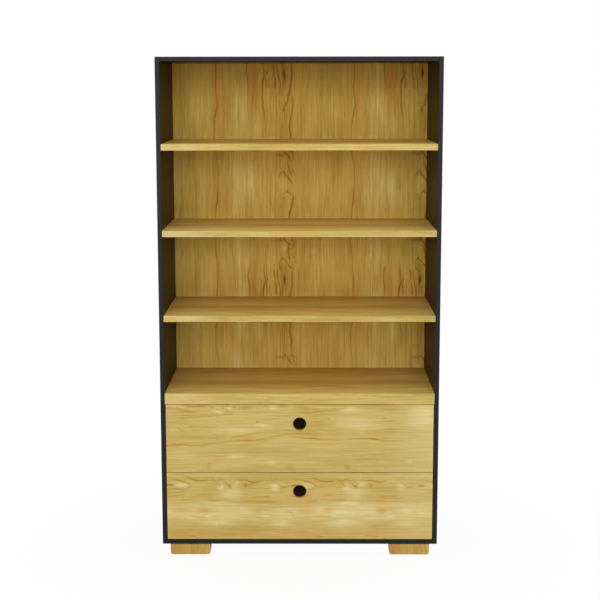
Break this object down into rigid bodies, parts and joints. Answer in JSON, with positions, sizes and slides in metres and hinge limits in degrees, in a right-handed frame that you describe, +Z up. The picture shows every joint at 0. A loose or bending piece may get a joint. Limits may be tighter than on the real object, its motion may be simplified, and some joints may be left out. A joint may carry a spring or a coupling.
{
  "type": "bookcase with drawers",
  "caption": "Tall dark-framed bookcase on short wooden block feet, with open wooden shelves above full-width roller-mounted wooden drawers pulled by round finger holes.",
  "frame": {"origin": "on the floor, under the middle of the case", "axes": "+X to the right seen from the front, +Y towards the back, +Z up; the drawers open along -Y"},
  "size_m": [1, 0.46, 1.796],
  "materials": {
    "case_board": "charcoal melamine-faced board, matt with a fine grain",
    "back_sheet": "thin wood-faced sheet, vertical grain, satin",
    "shelf_wood": "honey-coloured solid wood, grain along the length, satin oil",
    "front_wood": "honey-coloured wood, horizontal grain, satin oil",
    "foot_wood": "honey-coloured solid wood block, satin oil",
    "drawer_box_wood": "pale plain wood, clear lacquer",
    "drawer_bottom_sheet": "thin smooth hardboard, pale face",
    "spline_plywood": "birch plywood strip",
    "runner_steel": "folded sheet steel with a white epoxy coat",
    "roller_plastic": "natural acetal, smooth",
    "pin_steel": "bronzed steel, dark brown",
    "pad_felt": "dense brown felt"
  },
  "bodies": {
    "case": {"left_side_panel": "case_board", "right_side_panel": "case_board", "top_panel": "case_board", "bottom_panel": "case_board", "back_panel": "back_sheet", "drawer_top_board": "shelf_wood", "lower_shelf": "shelf_wood", "middle_shelf": "shelf_wood", "upper_shelf": "shelf_wood", "board_splines": "spline_plywood", "shelf_pins": "pin_steel", "front_left_foot": "foot_wood", "front_right_foot": "foot_wood", "rear_left_foot": "foot_wood", "rear_right_foot": "foot_wood", "foot_pads": "pad_felt", "lower_left_case_runner": "runner_steel", "lower_right_case_runner": "runner_steel", "upper_left_case_runner": "runner_steel", "upper_right_case_runner": "runner_steel"},
    "lower_drawer": {"lower_drawer_front": "front_wood", "lower_drawer_left_side": "drawer_box_wood", "lower_drawer_right_side": "drawer_box_wood", "lower_drawer_back": "drawer_box_wood", "lower_drawer_bottom": "drawer_bottom_sheet", "lower_drawer_bearer": "drawer_box_wood", "lower_left_drawer_runner": "runner_steel", "lower_right_drawer_runner": "runner_steel"},
    "upper_drawer": {"upper_drawer_front": "front_wood", "upper_drawer_left_side": "drawer_box_wood", "upper_drawer_right_side": "drawer_box_wood", "upper_drawer_back": "drawer_box_wood", "upper_drawer_bottom": "drawer_bottom_sheet", "upper_drawer_bearer": "drawer_box_wood", "upper_left_drawer_runner": "runner_steel", "upper_right_drawer_runner": "runner_steel"},
    "lower_left_front_roller": {"lower_left_front_roller": "roller_plastic"},
    "lower_left_rear_roller": {"lower_left_rear_roller": "roller_plastic"},
    "lower_right_front_roller": {"lower_right_front_roller": "roller_plastic"},
    "lower_right_rear_roller": {"lower_right_rear_roller": "roller_plastic"},
    "upper_left_front_roller": {"upper_left_front_roller": "roller_plastic"},
    "upper_left_rear_roller": {"upper_left_rear_roller": "roller_plastic"},
    "upper_right_front_roller": {"upper_right_front_roller": "roller_plastic"},
    "upper_right_rear_roller": {"upper_right_rear_roller": "roller_plastic"}
  },
  "joints": [
    {"name": "lower_drawer_slide", "type": "slide", "parent": "case", "child": "lower_drawer", "axis": [0, -1, 0], "range_m": [0, 0.3]},
    {"name": "upper_drawer_slide", "type": "slide", "parent": "case", "child": "upper_drawer", "axis": [0, -1, 0], "range_m": [0, 0.3]},
    {"name": "lower_left_front_roller_spin", "type": "hinge", "parent": "case", "child": "lower_left_front_roller", "pos_m": [-0.4782, -0.194, 0.0903], "axis": [1, 0, 0], "continuous": true},
    {"name": "lower_left_rear_roller_spin", "type": "hinge", "parent": "lower_drawer", "child": "lower_left_rear_roller", "pos_m": [-0.4782, 0.1773, 0.0873], "axis": [1, 0, 0], "continuous": true},
    {"name": "lower_right_front_roller_spin", "type": "hinge", "parent": "case", "child": "lower_right_front_roller", "pos_m": [0.4782, -0.194, 0.0903], "axis": [1, 0, 0], "continuous": true},
    {"name": "lower_right_rear_roller_spin", "type": "hinge", "parent": "lower_drawer", "child": "lower_right_rear_roller", "pos_m": [0.4782, 0.1773, 0.0873], "axis": [1, 0, 0], "continuous": true},
    {"name": "upper_left_front_roller_spin", "type": "hinge", "parent": "case", "child": "upper_left_front_roller", "pos_m": [-0.4782, -0.194, 0.3418], "axis": [1, 0, 0], "continuous": true},
    {"name": "upper_left_rear_roller_spin", "type": "hinge", "parent": "upper_drawer", "child": "upper_left_rear_roller", "pos_m": [-0.4782, 0.1773, 0.3388], "axis": [1, 0, 0], "continuous": true},
    {"name": "upper_right_front_roller_spin", "type": "hinge", "parent": "case", "child": "upper_right_front_roller", "pos_m": [0.4782, -0.194, 0.3418], "axis": [1, 0, 0], "continuous": true},
    {"name": "upper_right_rear_roller_spin", "type": "hinge", "parent": "upper_drawer", "child": "upper_right_rear_roller", "pos_m": [0.4782, 0.1773, 0.3388], "axis": [1, 0, 0], "continuous": true}
  ],
  "couplings": [
    {"joint": "lower_left_front_roller_spin", "follows": "lower_drawer_slide", "rad_per_m": 90.909},
    {"joint": "lower_left_rear_roller_spin", "follows": "lower_drawer_slide", "rad_per_m": 90.909},
    {"joint": "lower_right_front_roller_spin", "follows": "lower_drawer_slide", "rad_per_m": 90.909},
    {"joint": "lower_right_rear_roller_spin", "follows": "lower_drawer_slide", "rad_per_m": 90.909},
    {"joint": "upper_left_front_roller_spin", "follows": "upper_drawer_slide", "rad_per_m": 90.909},
    {"joint": "upper_left_rear_roller_spin", "follows": "upper_drawer_slide", "rad_per_m": 90.909},
    {"joint": "upper_right_front_roller_spin", "follows": "upper_drawer_slide", "rad_per_m": 90.909},
    {"joint": "upper_right_rear_roller_spin", "follows": "upper_drawer_slide", "rad_per_m": 90.909}
  ]
}
